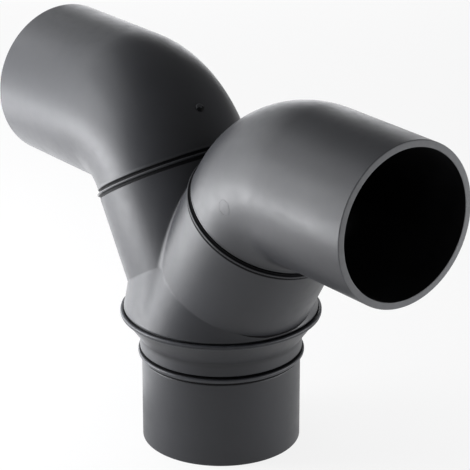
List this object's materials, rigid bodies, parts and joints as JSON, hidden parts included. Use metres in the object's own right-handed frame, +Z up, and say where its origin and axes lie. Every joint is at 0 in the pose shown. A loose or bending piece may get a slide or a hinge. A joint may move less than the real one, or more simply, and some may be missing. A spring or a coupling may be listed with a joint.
{
  "type": "double branch drain fitting",
  "caption": "Forked plastic drain fitting: a straight spigot flares into a body that divides into legs, whose swept bends turn to level open mouths facing opposite ways.",
  "frame": {"origin": "centre of the spigot's bottom rim", "axes": "+Z up along the spigot, +X towards the right mouth, +Y across the fitting"},
  "size_m": [0.3734, 0.1392, 0.2682],
  "materials": {
    "spigot": "satin black moulded polyethylene",
    "flared_neck": "satin black moulded polyethylene",
    "forked_body": "satin black moulded polyethylene",
    "right_bend": "satin black moulded polyethylene",
    "left_bend": "satin black moulded polyethylene"
  },
  "bodies": {
    "root": {"spigot": "spigot", "flared_neck": "flared_neck", "forked_body": "forked_body", "right_bend": "right_bend", "left_bend": "left_bend"}
  },
  "joints": []
}
